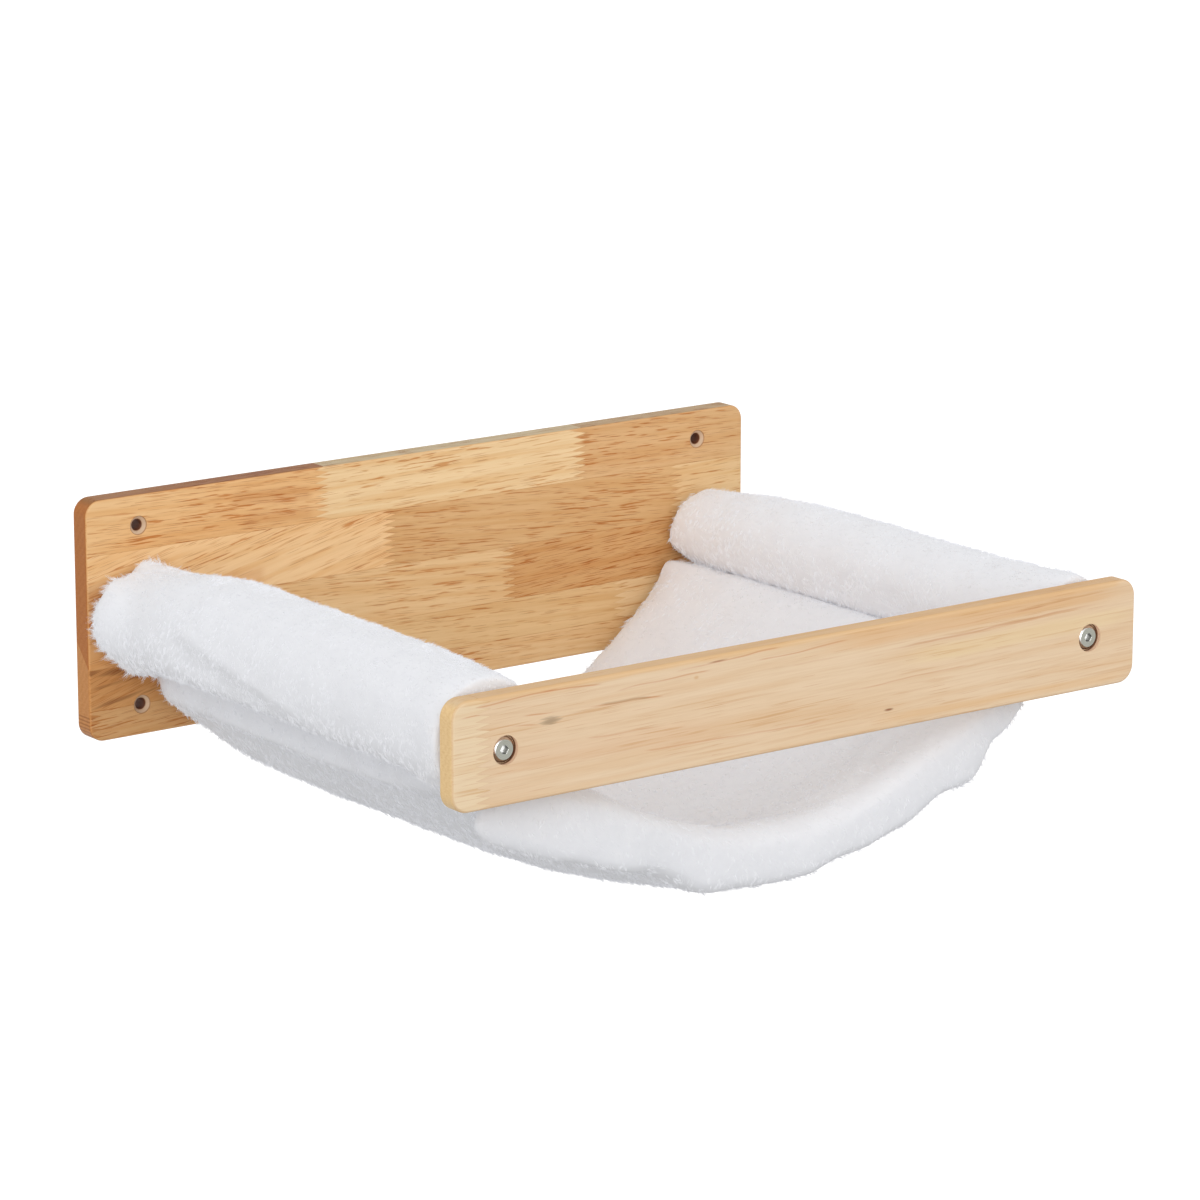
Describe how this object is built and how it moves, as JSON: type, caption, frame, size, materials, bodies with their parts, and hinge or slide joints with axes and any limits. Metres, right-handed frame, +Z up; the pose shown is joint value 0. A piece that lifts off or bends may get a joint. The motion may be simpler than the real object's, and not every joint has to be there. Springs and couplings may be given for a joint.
{
  "type": "wall-mounted cat hammock",
  "caption": "Wall-mounted pet hammock: a wooden board on the wall, rods standing out to a front rail, and a deep plush sling hung between the rods.",
  "frame": {"origin": "centre of the back board's wall face", "axes": "+X to the right along the wall seen from the front, +Y into the wall, +Z up"},
  "size_m": [0.5054, 0.4, 0.2223],
  "materials": {
    "board_wood": "finger-jointed rubberwood, thin satin lacquer",
    "rail_wood": "pale finger-jointed rubberwood, thin satin lacquer",
    "bolt_metal": "nickel plated, satin",
    "insert_metal": "zinc plated",
    "white_plush": "long-pile white plush"
  },
  "bodies": {
    "root": {"back_board": "board_wood", "front_rail": "rail_wood", "left_rod": "rail_wood", "rear_insert_left": "insert_metal", "front_insert_left": "insert_metal", "rear_bolt_left": "bolt_metal", "front_bolt_left": "bolt_metal", "right_rod": "rail_wood", "rear_insert_right": "insert_metal", "front_insert_right": "insert_metal", "rear_bolt_right": "bolt_metal", "front_bolt_right": "bolt_metal", "left_sleeve": "white_plush", "right_sleeve": "white_plush", "sling_panel": "white_plush"}
  },
  "joints": []
}
